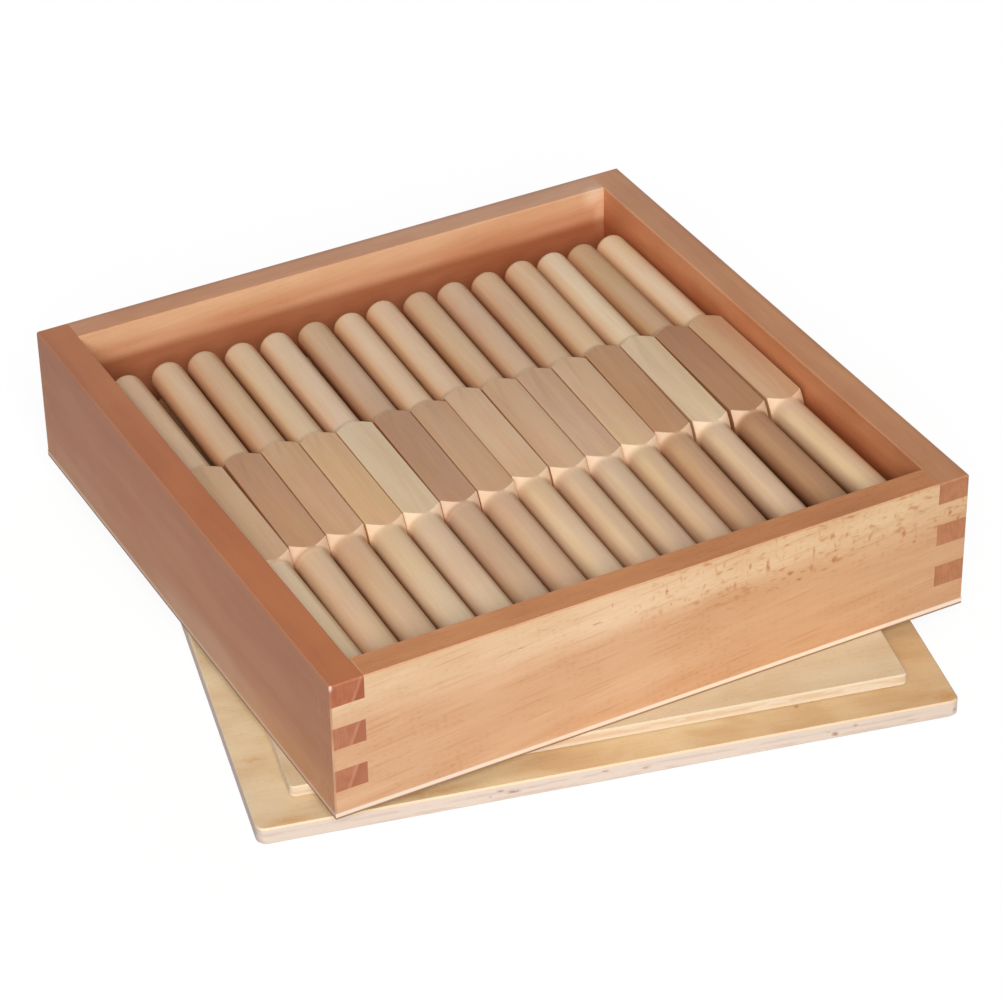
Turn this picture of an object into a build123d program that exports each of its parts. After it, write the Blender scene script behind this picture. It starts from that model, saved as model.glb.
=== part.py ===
from build123d import *
import os
from math import atan, cos, degrees, radians, sin, sqrt, tan

# A finger-jointed beech tray packed with turned wooden spindles, standing on its own plywood lid.
# Each spindle is a square bar turned round towards both ends. The squares stack in columns, several
# layers deep, and keep the spindles from rolling. The lid lies upside down on the table with its
# locating panel uppermost, and the tray is set down on that panel, a little turned from it.
# Millimetres and degrees. X runs along the tray's front wall, Y from front to back and Z up.
# The origin is the middle of the lid's outer face, which rests on the table.

# One spindle. Its ends are turned so far down that they lie this depth below the square's flats
spindle_length = 202.0
square_side = 13.8
square_length = 61.6
turned_depth = 0.65
shoulder_angle = 39.7
tip_length = 3.8
tip_edge_length = 1.1
tip_edge_diameter = 10.4
tip_flat_diameter = 5.2

# The round ends are many-sided prisms, finer on the layer that shows than on the layers under it
top_layer_sides = 24
hidden_layer_sides = 12

# How the spindles lie in the tray: each column is turned a little from the tray's own direction, and has
# slipped some way along it. A front gap share is the part of the free length that is left in front.
column_turns = [1.0, 2.0, 2.1, 2.1, 2.15, 2.65, 2.7, 2.7, 2.95, 2.95, 3.1, 3.4, 2.7, 1.6, 0.6]
front_gap_shares = [0.13, 0.18, 0.20, 0.11, 0.11, 0.10, 0.05, 0.16, 0.08, 0.08, 0.09, 0.15, 0.11, 0.09, 0.11]
layer_names = ["bottom", "middle", "top"]
column_gap = 0.27
side_gap = 0.4
free_length = 16.0

# Tray: the walls share square fingers at each corner, and stand on a thin plywood bottom of their outline
side_wall_thickness = 12.0
end_wall_thickness = 11.0
headroom = 9.6
fingers_per_corner = 6
wall_arris = 0.5
bottom_thickness = 2.4

# Lid: a plywood panel as wide as the tray, with a smaller panel glued on that drops inside the rim
lid_overhang = 0.5
lid_thickness = 6.5
lid_corner_radius = 3.5
lid_arris = 0.6
locator_play = 1.5
locator_thickness = 4.5
locator_corner_radius = 2.0
locator_arris = 0.5

# How the tray is set down on the upturned lid
lid_turn = -12.73
tray_shift_x = -1.6
tray_shift_y = 16.8

# Every cutting block runs past what it cuts by this much
overrun = 1.0

# Sizes that follow: the spindle's stations along its length, measured from its middle
half_length = spindle_length / 2
half_square = square_side / 2
round_radius = half_square - turned_depth
round_diameter = 2 * round_radius
shoulder_slope = tan(radians(shoulder_angle))
shoulder_foot = square_length / 2 + (half_square - round_radius) / shoulder_slope
bar_corner_radius = half_square * sqrt(2)
shoulder_head = square_length / 2 - (bar_corner_radius - half_square) / shoulder_slope
tip_start = half_length - tip_length


def reach(turn):
    """How far a spindle of this turn stretches to each side of its middle, at its square or at its ends."""
    square = half_square / cos(radians(turn)) + square_length / 2 * sin(radians(turn))
    round_end = round_radius / cos(radians(turn)) + tip_start * sin(radians(turn))
    return max(square, round_end)


def spacing(turn, next_turn):
    """How far apart two neighbouring columns lie, where one of them is turned further than the other."""
    widest = max(turn, next_turn)
    fan = abs(sin(radians(next_turn)) - sin(radians(turn)))
    squares = square_side / cos(radians(widest)) + square_length / 2 * fan
    round_ends = round_diameter / cos(radians(widest)) + tip_start * fan
    return max(squares, round_ends) + column_gap


# The tray's inside follows the spindles, and its outside follows the walls
column_offsets = [side_gap + reach(column_turns[0])]
for near_turn, far_turn in zip(column_turns, column_turns[1:]):
    column_offsets.append(column_offsets[-1] + spacing(near_turn, far_turn))
inner_width = column_offsets[-1] + reach(column_turns[-1]) + side_gap
inner_depth = spindle_length + free_length
wall_height = len(layer_names) * square_side + headroom
finger_height = wall_height / fingers_per_corner
tray_width = inner_width + 2 * side_wall_thickness
tray_depth = inner_depth + 2 * end_wall_thickness

# The lid follows the tray
lid_width = tray_width + 2 * lid_overhang
lid_depth = tray_depth + 2 * lid_overhang
locator_width = inner_width - 2 * locator_play
locator_depth = inner_depth - 2 * locator_play

# Levels above the table
locator_level = lid_thickness
tray_level = locator_level + locator_thickness
floor_level = tray_level + bottom_thickness
rim_level = floor_level + wall_height


def make_frustum(low, low_radius, high, high_radius, sides):
    """A many-sided prism or cone between two levels, each radius measured to the middle of a side."""
    taper = degrees(atan((low_radius - high_radius) / (high - low)))
    section = RegularPolygon(low_radius, sides, major_radius=False, rotation=180 / sides)
    return extrude(Pos(0, 0, low) * section, amount=high - low, taper=taper)


def make_spindle(sides):
    """One spindle lying along Y about the origin: the square bar, cut by the turned shape of its ends."""
    stations = [(shoulder_head, bar_corner_radius), (shoulder_foot, round_radius), (tip_start, round_radius)]
    if sides == top_layer_sides:
        stations.append((half_length - tip_edge_length, tip_edge_diameter / 2))
    stations.append((half_length, tip_flat_diameter / 2))
    turned = Part()
    for (low, low_radius), (high, high_radius) in zip(stations, stations[1:]):
        turned += make_frustum(low, low_radius, high, high_radius, sides)
    bar = Box(square_side, square_side, 2 * (half_length + overrun))
    end = turned & bar
    middle = Box(square_side, square_side, 2 * shoulder_head)
    spindle = middle + end + mirror(end, Plane.XY)
    return Rot(90, 0, 0) * spindle


def spindle_place(column, layer):
    """Where a spindle of this column and layer lies, and how far its far end leans to the right."""
    x = tray_shift_x - inner_width / 2 + column_offsets[column]
    front = tray_shift_y - inner_depth / 2 + front_gap_shares[column] * free_length
    z = floor_level + (layer + 1 / 2) * square_side
    return Pos(x, front + half_length, z) * Rot(0, 0, -column_turns[column])


def make_tray_blank():
    """The four walls as one ring with every outer arris and both rim arrises taken off."""
    middle = Pos(tray_shift_x, tray_shift_y, floor_level + wall_height / 2)
    hollow = middle * Box(inner_width, inner_depth, wall_height + 2 * overrun)
    ring = middle * Box(tray_width, tray_depth, wall_height) - hollow
    rim_edges = ring.faces().sort_by(Axis.Z)[-1].edges()
    uprights = ring.edges().filter_by(Axis.Z)
    corners = uprights.sort_by_distance((tray_shift_x, tray_shift_y, floor_level))[-4:]
    return chamfer(rim_edges + corners, wall_arris)


def make_finger(side, end, row):
    """The block that one finger fills. Side and end are -1 or 1, and rows count down from the rim."""
    x = tray_shift_x + side * (inner_width + side_wall_thickness) / 2
    y = tray_shift_y + end * (inner_depth + end_wall_thickness) / 2
    z = rim_level - (row + 1 / 2) * finger_height
    return Pos(x, y, z) * Box(side_wall_thickness, end_wall_thickness, finger_height)


def make_side_wall(blank, side):
    """The left or right wall, which has the top finger at both its corners and every second one below."""
    x = tray_shift_x + side * (inner_width + side_wall_thickness) / 2
    middle = Pos(x, tray_shift_y, floor_level + wall_height / 2)
    wall = middle * Box(side_wall_thickness, inner_depth, wall_height)
    for row in range(0, fingers_per_corner, 2):
        wall += make_finger(side, -1, row) + make_finger(side, 1, row)
    return blank & wall


def make_end_wall(blank, end):
    """The front or back wall, which has the fingers that the side walls leave."""
    y = tray_shift_y + end * (inner_depth + end_wall_thickness) / 2
    middle = Pos(tray_shift_x, y, floor_level + wall_height / 2)
    wall = middle * Box(inner_width, end_wall_thickness, wall_height)
    for row in range(1, fingers_per_corner, 2):
        wall += make_finger(-1, end, row) + make_finger(1, end, row)
    return blank & wall


def make_bottom():
    """The tray's plywood bottom, glued under the walls and flush with them."""
    middle = Pos(tray_shift_x, tray_shift_y, tray_level + bottom_thickness / 2)
    return middle * Box(tray_width, tray_depth, bottom_thickness)


def make_panel(width, depth, thickness, corner_radius, arris, level):
    """A plywood panel of the lid at this level, with round corners and its top and bottom edges eased."""
    panel = Pos(0, 0, level + thickness / 2) * Box(width, depth, thickness)
    panel = fillet(panel.edges().filter_by(Axis.Z), corner_radius)
    eased = panel.faces().sort_by(Axis.Z)[-1].edges() + panel.faces().sort_by(Axis.Z)[0].edges()
    return Rot(0, 0, lid_turn) * chamfer(eased, arris)


def write(node, shape):
    """Each piece goes to a file of its own name."""
    export_step(shape.solid(), f"parts/{node}.step")


os.makedirs("parts", exist_ok=True)

tray_blank = make_tray_blank()
write("wall_front", make_end_wall(tray_blank, -1))
write("wall_back", make_end_wall(tray_blank, 1))
write("wall_left", make_side_wall(tray_blank, -1))
write("wall_right", make_side_wall(tray_blank, 1))
write("box_bottom", make_bottom())

lid_sizes = (lid_width, lid_depth, lid_thickness, lid_corner_radius, lid_arris)
locator_sizes = (locator_width, locator_depth, locator_thickness, locator_corner_radius, locator_arris)
write("lid_panel", make_panel(*lid_sizes, 0))
write("lid_inset", make_panel(*locator_sizes, locator_level))

for layer, layer_name in enumerate(layer_names):
    top_layer = layer == len(layer_names) - 1
    spindle = make_spindle(top_layer_sides if top_layer else hidden_layer_sides)
    for column in range(len(column_turns)):
        placed = spindle_place(column, layer) * spindle
        write(f"spindle_{layer_name}_{column + 1:02d}", placed)

print(f"tray {tray_width:.2f} x {tray_depth:.2f}, inside {inner_width:.2f} x {inner_depth:.2f}")
print(f"levels: tray {tray_level:.2f}, floor {floor_level:.2f}, rim {rim_level:.2f}")
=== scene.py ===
"""The looks of a spindle box: a finger-jointed beech tray of turned spindles, set down on its own lid.

Lengths are in metres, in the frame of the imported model. The walls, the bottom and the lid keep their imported
meshes and get finishes. Every spindle is turned anew, truly round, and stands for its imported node.
"""

import logging
import math
from collections.abc import Sequence
from dataclasses import dataclass, replace
from enum import Enum

import bmesh
import bpy
from mathutils import Matrix, Quaternion, Vector


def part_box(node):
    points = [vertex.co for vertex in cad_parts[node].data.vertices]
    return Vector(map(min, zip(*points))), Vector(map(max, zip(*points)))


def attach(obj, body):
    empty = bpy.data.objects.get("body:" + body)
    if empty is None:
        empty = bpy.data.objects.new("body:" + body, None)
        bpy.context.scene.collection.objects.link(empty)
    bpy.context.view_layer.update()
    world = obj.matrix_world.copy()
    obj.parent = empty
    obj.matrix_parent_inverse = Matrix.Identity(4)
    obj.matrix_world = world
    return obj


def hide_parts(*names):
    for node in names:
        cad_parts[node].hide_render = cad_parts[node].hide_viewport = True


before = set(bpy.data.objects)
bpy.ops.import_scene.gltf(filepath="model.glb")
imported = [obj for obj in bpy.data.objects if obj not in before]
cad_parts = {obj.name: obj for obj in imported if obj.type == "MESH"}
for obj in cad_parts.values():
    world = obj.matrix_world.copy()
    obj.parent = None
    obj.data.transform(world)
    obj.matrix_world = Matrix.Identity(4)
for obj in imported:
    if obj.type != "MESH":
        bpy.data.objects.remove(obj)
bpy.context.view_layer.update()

log = logging.getLogger("spindle_box")

MM = 0.001

Socket = bpy.types.NodeSocket
Feed = Socket | float | Sequence[float]
Colour = tuple[float, float, float, float]
Triple = tuple[float, float, float]

WHITE = (1.0, 1.0, 1.0, 1.0)


def paint(red: int, green: int, blue: int) -> Colour:
    """Turns a colour as a screen shows it into the linear values that the nodes work in.

    Args:
        red: The red share, from 0 to 255.
        green: The green share, from 0 to 255.
        blue: The blue share, from 0 to 255.

    Returns:
        The linear red, green and blue, and a full alpha.
    """
    def linear(level: int) -> float:
        """One share in linear light."""
        share = level / 255
        return share / 12.92 if share <= 0.04045 else ((share + 0.055) / 1.055) ** 2.4

    return (linear(red), linear(green), linear(blue), 1.0)


class Recipe:
    """The nodes of one finish or effect. Each is joined to what feeds it as it is added."""

    def __init__(self, tree: bpy.types.NodeTree) -> None:
        """Starts from an empty tree, of a material, the world or an effect."""
        self.tree = tree
        tree.nodes.clear()

    def feed(self, socket: Socket, value: Feed) -> None:
        """Joins a socket to what feeds it, or sets its value.

        Args:
            socket: The input that is fed.
            value: An output of another node, a number or a row of numbers.
        """
        if isinstance(value, bpy.types.NodeSocket):
            self.tree.links.new(value, socket)
        else:
            socket.default_value = value

    def add(self, kind: str, feeds: dict[str | int, Feed], **settings: object) -> bpy.types.Node:
        """Adds a node.

        Args:
            kind: Blender's name for the kind of node.
            feeds: What feeds each input, by the input's name or number.
            **settings: The node's own settings.

        Returns:
            The new node.
        """
        node = self.tree.nodes.new(kind)
        for name, value in settings.items():
            setattr(node, name, value)
        for name, value in feeds.items():
            self.feed(node.inputs[name], value)
        return node

    def maths(self, operation: str, *values: Feed) -> Socket:
        """Works on one to three numbers, and gives the result."""
        return self.add("ShaderNodeMath", dict(enumerate(values)), operation=operation).outputs[0]

    def vector(self, operation: str, *values: Feed) -> Socket:
        """Works on one or two vectors. A length or a dot product comes back as a number."""
        node = self.add("ShaderNodeVectorMath", dict(enumerate(values)), operation=operation)
        return node.outputs["Value" if operation in ("LENGTH", "DOT_PRODUCT") else "Vector"]

    def mix(self, share: Feed, first: Feed, second: Feed, blend: str = "MIX") -> Socket:
        """Mixes two colours: the share tells how much of the second shows, and the blend how it lies there."""
        feeds = {"Factor": share, 6: first, 7: second}
        return self.add("ShaderNodeMix", feeds, data_type="RGBA", blend_type=blend).outputs[2]

    def veil(self, colour: Feed, tint: Sequence[float], mask: Feed, strength: float = 1.0) -> Socket:
        """Multiplies a colour by a tint, where a mask from 0 to 1 lets it show, at the strength asked for."""
        share = mask if strength == 1.0 else self.maths("MULTIPLY", mask, strength)
        return self.mix(share, colour, (*tint[:3], 1.0), "MULTIPLY")

    def fade(self, value: Feed, start: float, end: float, low: float = 0.0, high: float = 1.0) -> Socket:
        """Lets a number rise or fall smoothly while another goes from start to end.

        Args:
            value: The number that is followed.
            start: Where the change begins.
            end: Where the change is done.
            low: The result at the start.
            high: The result at the end.

        Returns:
            The result.
        """
        feeds = {"Value": value, "From Min": start, "From Max": end, "To Min": low, "To Max": high}
        node = self.add("ShaderNodeMapRange", feeds, interpolation_type="SMOOTHSTEP", clamp=True)
        return node.outputs["Result"]

    def place(self, vector: Feed, scale: Sequence[float], turn: Sequence[float] = (0.0, 0.0, 0.0)) -> Socket:
        """Turns and scales the place in a piece into a place in a pattern."""
        feeds = {"Vector": vector, "Scale": scale, "Rotation": turn}
        return self.add("ShaderNodeMapping", feeds, vector_type="POINT").outputs["Vector"]

    def noise(self, vector: Feed, detail: float = 3.0, roughness: float = 0.55, bend: float = 0.0) -> Socket:
        """A soft random number around a half, whose spots are about one unit wide."""
        feeds = {"Vector": vector, "Scale": 1.0, "Detail": detail, "Roughness": roughness, "Distortion": bend}
        return self.add("ShaderNodeTexNoise", feeds, noise_dimensions="3D").outputs[0]

    def parts(self, vector: Feed) -> tuple[Socket, Socket, Socket]:
        """The three parts of a vector."""
        node = self.add("ShaderNodeSeparateXYZ", {"Vector": vector})
        return node.outputs["X"], node.outputs["Y"], node.outputs["Z"]

    def effect(self, group: bpy.types.NodeTree, feeds: dict[str, Feed]) -> Socket:
        """Places one of the shared effects.

        Args:
            group: The effect.
            feeds: What feeds its inputs.

        Returns:
            Its output.
        """
        node = self.tree.nodes.new("ShaderNodeGroup")
        node.node_tree = group
        for name, value in feeds.items():
            self.feed(node.inputs[name], value)
        return node.outputs[0]


class Effects:
    """The effects that several finishes share, each made once as a group of nodes."""

    def __init__(self) -> None:
        """Makes every effect."""
        self.streaks = self.make_streaks()
        self.dashes = self.make_dashes()
        self.mark = self.make_mark()
        self.arris = self.make_arris()

    def start(
        self, name: str, output: str, vectors: Sequence[str], numbers: Sequence[str] = (),
    ) -> tuple[Recipe, dict[str, Socket]]:
        """Starts an effect with its inputs and its one output.

        Args:
            name: What the effect is called.
            output: What the output is called.
            vectors: The inputs that take a vector.
            numbers: The inputs that take a number.

        Returns:
            The recipe to fill, and what each input brings in, by its name.
        """
        group = bpy.data.node_groups.new(name, "ShaderNodeTree")
        recipe = Recipe(group)
        for kind, labels in (("NodeSocketVector", vectors), ("NodeSocketFloat", numbers)):
            for label in labels:
                group.interface.new_socket(label, in_out="INPUT", socket_type=kind)
        group.interface.new_socket(output, in_out="OUTPUT", socket_type="NodeSocketFloat")
        entry = group.nodes.new("NodeGroupInput")
        return recipe, {label: entry.outputs[label] for label in (*vectors, *numbers)}

    def end(self, recipe: Recipe, result: Socket) -> bpy.types.NodeTree:
        """Joins the result to the effect's output.

        Args:
            recipe: The effect's recipe.
            result: What it puts out.

        Returns:
            The finished effect.
        """
        out = recipe.tree.nodes.new("NodeGroupOutput")
        recipe.feed(out.inputs[0], result)
        return recipe.tree

    def stretch(self, recipe: Recipe, inputs: dict[str, Socket]) -> Socket:
        """The place in a pattern of streaks or dashes along X, of the width and length that are asked for.

        Args:
            recipe: The effect's recipe.
            inputs: What its inputs bring in.

        Returns:
            The place, in which each of them is about one unit long and wide.
        """
        feeds = {"X": inputs["Length"], "Y": inputs["Width"], "Z": inputs["Width"]}
        size = recipe.add("ShaderNodeCombineXYZ", feeds).outputs[0]
        return recipe.vector("DIVIDE", inputs["Place"], size)

    def make_streaks(self) -> bpy.types.NodeTree:
        """Long soft streaks along X: the figure of the wood, or its fibres when they are narrow.

        Returns:
            The effect, whose shade goes from 0 to 1.
        """
        recipe, inputs = self.start("Wood streaks", "Shade", ("Place",), ("Width", "Length"))
        noise = recipe.noise(self.stretch(recipe, inputs), bend=0.3)
        return self.end(recipe, recipe.fade(noise, 0.3, 0.7))

    def make_dashes(self) -> bpy.types.NodeTree:
        """Short separate dashes along X: pores, or dark veins when they are wide and long.

        Returns:
            The effect, which is 1 inside a dash.
        """
        recipe, inputs = self.start("Wood dashes", "Mask", ("Place",), ("Width", "Length", "Share"))
        cells = recipe.add("ShaderNodeTexVoronoi", {"Vector": self.stretch(recipe, inputs), "Scale": 1.0})
        draw = recipe.parts(cells.outputs["Color"])[0]
        chosen = recipe.maths("LESS_THAN", draw, inputs["Share"])
        inside = recipe.fade(cells.outputs["Distance"], 0.45, 0.18)
        return self.end(recipe, recipe.maths("MULTIPLY", inside, chosen))

    def make_mark(self) -> bpy.types.NodeTree:
        """How far a place is from the middle of one oval mark, where its edge is at 1.

        Returns:
            The effect, in which a faint mark lies further off.
        """
        recipe, inputs = self.start("Oval mark", "Distance", ("Place", "Middle", "Reach"), ("Faintness",))
        away = recipe.vector("SUBTRACT", inputs["Place"], inputs["Middle"])
        distance = recipe.vector("LENGTH", recipe.vector("DIVIDE", away, inputs["Reach"]))
        return self.end(recipe, recipe.maths("ADD", distance, inputs["Faintness"]))

    def make_arris(self) -> bpy.types.NodeTree:
        """The eased edges of a piece, which lie askew to its three directions.

        Returns:
            The effect, which is 1 on an eased edge.
        """
        recipe, inputs = self.start("Eased edges", "Mask", ("Facing",))
        along, across, upward = recipe.parts(recipe.vector("ABSOLUTE", inputs["Facing"]))
        straightest = recipe.maths("MAXIMUM", recipe.maths("MAXIMUM", along, across), upward)
        return self.end(recipe, recipe.fade(straightest, 0.93, 0.85))


@dataclass(frozen=True)
class Tint:
    """A tint that comes on softly from one place on a piece to another, in millimetres."""

    start: Triple
    end: Triple
    shares: Triple

    def lay(self, recipe: Recipe, spot: Socket, colour: Socket) -> Socket:
        """Lays the tint on a colour.

        Args:
            recipe: The finish's recipe.
            spot: The place on the piece.
            colour: The colour underneath.

        Returns:
            The tinted colour.
        """
        start, end = Vector(self.start) * MM, Vector(self.end) * MM
        way = (end - start) / (end - start).length_squared
        along = recipe.vector("DOT_PRODUCT", spot, way)
        return recipe.veil(colour, self.shares, recipe.fade(along, way.dot(start), way.dot(end)))


@dataclass(frozen=True)
class Shade:
    """The wood on one side of a piece: its pale and deep streaks, and the tints that lie on them."""

    pale: Colour
    deep: Colour
    tints: tuple[Tint, ...] = ()

    def lay(self, recipe: Recipe, spot: Socket, share: Feed) -> Socket:
        """Mixes the colour of this side.

        Args:
            recipe: The finish's recipe.
            spot: The place on the piece.
            share: How deep the wood is, from 0 to 1.

        Returns:
            The colour.
        """
        colour = recipe.mix(share, self.pale, self.deep)
        for tint in self.tints:
            colour = tint.lay(recipe, spot, colour)
        return colour


@dataclass(frozen=True)
class Mark:
    """One oval mark, by its middle and its reach in millimetres. The fainter it is, the less of it shows."""

    middle: Triple
    reach: Triple
    faintness: float = 0.0


@dataclass(frozen=True)
class Stain:
    """Marks of one kind on a piece, such as ray flecks, a pale patch, a rubbed corner, a painted highlight and
    painted bounce light.

    A mark is full inside its core and gone at its rim, both counted in its own reach.
    """

    marks: tuple[Mark, ...]
    colour: Colour
    strength: float
    blend: str = "MULTIPLY"
    ragged: float = 1.25
    core: float = 0.2
    rim: float = 1.25
    shake_scale: float = 500.0
    far_away: float = 9.0

    def lay(self, recipe: Recipe, effects: Effects, spot: Socket, colour: Socket) -> Socket:
        """Lays the marks on a colour, with ragged edges.

        Args:
            recipe: The finish's recipe.
            effects: The shared effects.
            spot: The place on the piece.
            colour: The colour underneath.

        Returns:
            The stained colour.
        """
        noise = recipe.add("ShaderNodeTexNoise", {"Vector": spot, "Scale": self.shake_scale, "Detail": 2.0})
        shake = recipe.vector("SUBTRACT", noise.outputs["Color"], (0.5, 0.5, 0.5))
        shaken = recipe.vector("ADD", spot, recipe.vector("MULTIPLY", shake, (2 * self.ragged * MM,) * 3))
        nearest: Feed = self.far_away
        for mark in self.marks:
            away = recipe.effect(effects.mark, {
                "Place": shaken, "Middle": Vector(mark.middle) * MM, "Reach": Vector(mark.reach) * MM,
                "Faintness": mark.faintness,
            })
            nearest = recipe.maths("MINIMUM", nearest, away)
        inside = recipe.fade(nearest, self.rim, self.core, 0.0, self.strength)
        return recipe.mix(inside, colour, self.colour, self.blend)


@dataclass(frozen=True)
class Wood:
    """How coarse a wood is: the width and the length of its figure, fibres and pores, in millimetres."""

    figure: tuple[float, float]
    fibres: tuple[float, float]
    pores: tuple[float, float]
    pore_share: float

    def lay(self, recipe: Recipe, effects: Effects, place: Socket) -> tuple[Socket, Socket, Socket]:
        """Lays the wood's own pattern.

        Args:
            recipe: The finish's recipe.
            effects: The shared effects.
            place: The place in the piece, with X along the grain.

        Returns:
            The figure, the fibres and the pores, each from 0 to 1.
        """
        figure, fibres = (
            recipe.effect(effects.streaks, {"Place": place, "Width": wide * MM, "Length": long * MM})
            for wide, long in (self.figure, self.fibres)
        )
        wide, long = self.pores
        pores = recipe.effect(effects.dashes, {
            "Place": place, "Width": wide * MM, "Length": long * MM, "Share": self.pore_share,
        })
        return figure, fibres, pores


BEECH = Wood((9, 80), (0.9, 16), (0.55, 2.8), 0.45)
BIRCH = Wood((16, 80), (0.7, 14), (0.5, 2.4), 0.3)
TURNED_WOOD = Wood((4.5, 90), (0.6, 18), (0.5, 3), 0.3)


class Finish:
    """One surface of wood. Each kind of finish has its own way to its colour, roughness and relief."""

    name: str
    relief_depth: float = 0.05 * MM
    relief_strength: float = 0.5

    def lay(self, recipe: Recipe, effects: Effects) -> tuple[Socket, Socket, Socket]:
        """Lays the wood.

        Args:
            recipe: The finish's recipe.
            effects: The shared effects.

        Returns:
            The colour, the roughness and the height of the relief.
        """
        raise NotImplementedError

    def make(self, effects: Effects) -> bpy.types.Material:
        """Makes the finish.

        Args:
            effects: The shared effects.

        Returns:
            The material.
        """
        material = bpy.data.materials.new(self.name)
        material.use_nodes = True
        recipe = Recipe(material.node_tree)
        colour, roughness, relief = self.lay(recipe, effects)
        bump = recipe.add("ShaderNodeBump", {
            "Height": relief, "Distance": self.relief_depth, "Strength": self.relief_strength,
        })
        surface = recipe.add("ShaderNodeBsdfPrincipled", {
            "Base Color": colour, "Roughness": roughness, "Normal": bump.outputs[0],
        })
        recipe.add("ShaderNodeOutputMaterial", {"Surface": surface.outputs[0]})
        return material


class Grain(Enum):
    """Which way the grain of a piece runs, and the turn that brings it to X."""

    ALONG_X = 0.0
    ALONG_Y = math.radians(-90)


@dataclass(frozen=True)
class BeechFinish(Finish):
    """Clear-lacquered beech on one wall. Its places are counted from the tray's near left bottom corner."""

    name: str
    grain: Grain
    inward: Triple
    outside: Shade
    rim: Shade
    inside: Shade
    ends: Shade
    split: Shade | None = None
    stains: tuple[Stain, ...] = ()
    fibre_share: float = 0.16
    pore_share: float = 0.35
    vein_share: float = 0.0
    ray_start: tuple[float, float] | None = None
    level_wear_and_highlight: float = 0.0
    edge_wear_and_highlight_colour: Colour = paint(240, 208, 174)
    slope: float = math.radians(5.5)
    cloud_scale: Triple = (28, 28, 40)
    cloud_share: float = 0.4
    figure_share: float = 0.6
    fibre_colour: Colour = paint(232, 205, 182)
    pore_colour: Colour = paint(222, 186, 160)
    vein_colour: Colour = paint(226, 192, 166)
    vein_width: float = 1.3 * MM
    vein_length: float = 26 * MM
    ray_colour: Colour = paint(229, 203, 175)
    ray_growth: tuple[float, float] = (60 * MM, 12 * MM)
    lying_rays: Triple = (200, 200, 560)
    upright_rays: Triple = (430, 430, 210)
    end_rays: Triple = (900, 900, 250)
    end_ray_colour: Colour = paint(224, 196, 182)
    split_slant: float = 0.28
    split_step: float = 0.055
    pale_line: float = 0.92
    pale_colour: Colour = paint(214, 156, 126)
    relief_depth: float = 0.06 * MM

    def lay(self, recipe: Recipe, effects: Effects) -> tuple[Socket, Socket, Socket]:
        """Lays the beech: each side's own shade, then fibres, pores, rubbed edges that are partly painted
        highlights, and stains.

        Args:
            recipe: The finish's recipe.
            effects: The shared effects.

        Returns:
            The colour, the roughness and the height of the relief.
        """
        where = recipe.add("ShaderNodeTexCoord", {})
        place, facing = where.outputs["Object"], where.outputs["Normal"]
        spot = recipe.vector("SUBTRACT", place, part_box("box_bottom")[0])
        grain = recipe.place(place, (1, 1, 1), (0.0, self.slope, self.grain.value))
        figure, fibres, pores = BEECH.lay(recipe, effects, grain)
        cloud = recipe.noise(recipe.place(place, self.cloud_scale), detail=2)
        patchy = recipe.maths("MULTIPLY", pores, recipe.fade(cloud, 0.35, 0.65, 0.25, 1.0))
        clouded = recipe.fade(cloud, 0.35, 0.7, 0.0, self.cloud_share)
        depth = recipe.maths("MULTIPLY_ADD", figure, self.figure_share, clouded)

        colour = self.outside.lay(recipe, spot, depth)
        if self.ray_start:
            colour = recipe.veil(colour, self.ray_colour, self.rays(recipe, spot))
        inside = recipe.fade(recipe.vector("DOT_PRODUCT", facing, self.inward), 0.5, 0.9)
        colour = recipe.mix(inside, colour, self.inside.lay(recipe, spot, depth))
        upward = recipe.parts(facing)[2]
        top = recipe.fade(upward, 0.5, 0.9)
        colour = recipe.mix(top, colour, self.rim.lay(recipe, spot, depth))
        fibre_mask = recipe.maths("MULTIPLY", fibres, self.fibre_share)
        colour = recipe.veil(colour, self.fibre_colour, fibre_mask)
        colour = recipe.veil(colour, self.pore_colour, patchy, self.pore_share)
        if self.vein_share:
            veins = recipe.effect(effects.dashes, {
                "Place": grain, "Width": self.vein_width, "Length": self.vein_length, "Share": 0.3,
            })
            colour = recipe.veil(colour, self.vein_colour, veins, self.vein_share)
        axis = (1, 0, 0) if self.grain is Grain.ALONG_X else (0, 1, 0)
        across = recipe.maths("ABSOLUTE", recipe.vector("DOT_PRODUCT", facing, axis))
        colour = recipe.mix(recipe.fade(across, 0.5, 0.8), colour, self.end_grain(recipe, spot, depth))

        # Eased edges are lightened: partly rubbed, partly a painted highlight, fullest on upright edges.
        level = recipe.fade(recipe.maths("ABSOLUTE", upward), 0.25, 0.5, 1.0, self.level_wear_and_highlight)
        edge = recipe.maths("MULTIPLY", recipe.effect(effects.arris, {"Facing": facing}), level)
        worn_and_highlit = recipe.maths("MULTIPLY", edge, recipe.fade(cloud, 0.4, 0.65, 0.05, 0.35))
        colour = recipe.mix(worn_and_highlit, colour, self.edge_wear_and_highlight_colour)
        for stain in self.stains:
            colour = stain.lay(recipe, effects, spot, colour)
        roughness = recipe.fade(fibre_mask, 0.0, 0.3, 0.44, 0.54)
        return colour, roughness, recipe.maths("MULTIPLY_ADD", patchy, -0.7, fibre_mask)

    def rays(self, recipe: Recipe, spot: Socket) -> Socket:
        """The small soft ray flecks, some lying and some upright, which thicken beyond a place on the wall.

        Args:
            recipe: The finish's recipe.
            spot: The place on the tray.

        Returns:
            The share of the flecks' colour.
        """
        along, _, height = recipe.parts(spot)
        first, lowest = (start * MM for start in self.ray_start)
        farther, higher = self.ray_growth
        rightward = recipe.fade(along, first, first + farther)
        region = recipe.maths("MULTIPLY", rightward, recipe.fade(height, lowest, lowest + higher))
        lying = recipe.fade(recipe.noise(recipe.place(spot, self.lying_rays), detail=1), 0.54, 0.78)
        upright = recipe.fade(recipe.noise(recipe.place(spot, self.upright_rays), detail=1), 0.58, 0.80)
        return recipe.maths("MULTIPLY", recipe.maths("MAXIMUM", lying, upright), region)

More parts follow.
